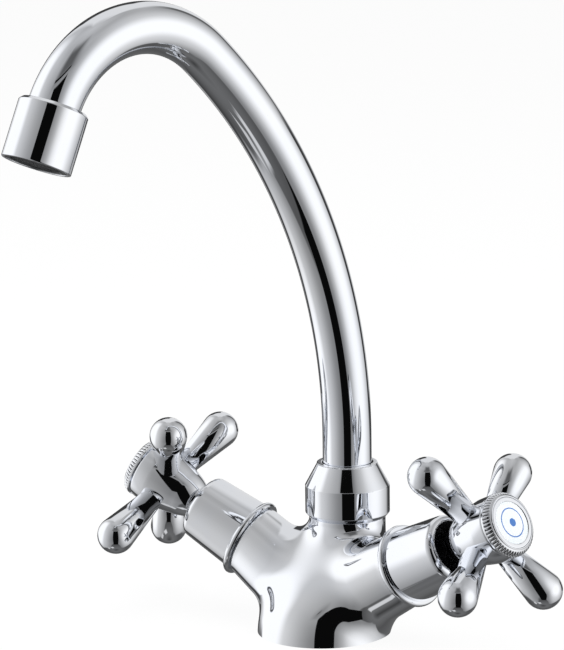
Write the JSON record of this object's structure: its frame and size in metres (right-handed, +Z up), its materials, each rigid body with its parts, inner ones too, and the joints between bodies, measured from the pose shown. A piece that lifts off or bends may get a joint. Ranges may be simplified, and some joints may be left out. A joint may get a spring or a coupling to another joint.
{
  "type": "mixer tap",
  "caption": "Deck-mounted mixer tap with a tall arched swivel spout and cross handles on angled valves above a round foot, in bright chrome.",
  "frame": {"origin": "centre of the round foot, on the deck", "axes": "+Z up, +X towards the cold handle, -Y forward, the way the spout reaches"},
  "size_m": [0.1831, 0.1614, 0.2347],
  "materials": {
    "cast_chrome": "polished brass casting, bright chrome plated",
    "turned_chrome": "turned brass, bright chrome plated",
    "tube_chrome": "drawn and bent brass tube, bright chrome plated",
    "brass": "plain turned brass",
    "steel": "stainless steel",
    "ceramic": "lapped alumina",
    "rubber": "moulded rubber",
    "glide_plastic": "white acetal",
    "aerator_plastic": "moulded grey plastic",
    "index_hot": "glossy white index disc with a plain red dot",
    "index_cold": "glossy white index disc with a plain blue dot"
  },
  "bodies": {
    "tap_body": {"body_casting": "cast_chrome", "base_seal": "rubber", "lower_glide_ring": "glide_plastic", "upper_glide_ring": "glide_plastic", "spout_nut": "turned_chrome", "hot_trim_ring": "turned_chrome", "hot_bonnet_sleeve": "turned_chrome", "hot_headwork_gasket": "glide_plastic", "hot_headwork_body": "brass", "hot_sleeve_o_ring": "rubber", "hot_seat_seal": "rubber", "hot_fixed_disc": "ceramic", "cold_trim_ring": "turned_chrome", "cold_bonnet_sleeve": "turned_chrome", "cold_headwork_gasket": "glide_plastic", "cold_headwork_body": "brass", "cold_sleeve_o_ring": "rubber", "cold_seat_seal": "rubber", "cold_fixed_disc": "ceramic"},
    "spout": {"spout_foot": "brass", "spout_o_rings": "rubber", "spout_tube": "tube_chrome", "outlet_shell": "turned_chrome", "aerator_washer": "rubber", "aerator_housing": "aerator_plastic", "aerator_cage": "aerator_plastic", "aerator_screen": "steel"},
    "hot_handle": {"hot_moving_disc": "ceramic", "hot_spindle": "brass", "hot_spindle_o_rings": "rubber", "hot_circlip": "steel", "hot_handle_hub": "cast_chrome", "hot_handle_arms": "cast_chrome", "hot_handle_screw": "steel", "hot_index_bezel": "turned_chrome", "hot_index_disc": "index_hot"},
    "cold_handle": {"cold_moving_disc": "ceramic", "cold_spindle": "brass", "cold_spindle_o_rings": "rubber", "cold_circlip": "steel", "cold_handle_hub": "cast_chrome", "cold_handle_arms": "cast_chrome", "cold_handle_screw": "steel", "cold_index_bezel": "turned_chrome", "cold_index_disc": "index_cold"}
  },
  "joints": [
    {"name": "spout_swivel", "type": "hinge", "parent": "tap_body", "child": "spout", "pos_m": [0, 0.0164, 0.045], "axis": [0, 0, 1], "continuous": true},
    {"name": "hot_valve", "type": "hinge", "parent": "tap_body", "child": "hot_handle", "pos_m": [0, 0.0088, 0.0104], "axis": [-0.8855, -0.1119, 0.4509], "range_deg": [0, 180]},
    {"name": "cold_valve", "type": "hinge", "parent": "tap_body", "child": "cold_handle", "pos_m": [0, 0.0088, 0.0104], "axis": [0.8855, -0.1119, 0.4509], "range_deg": [0, 180]}
  ]
}
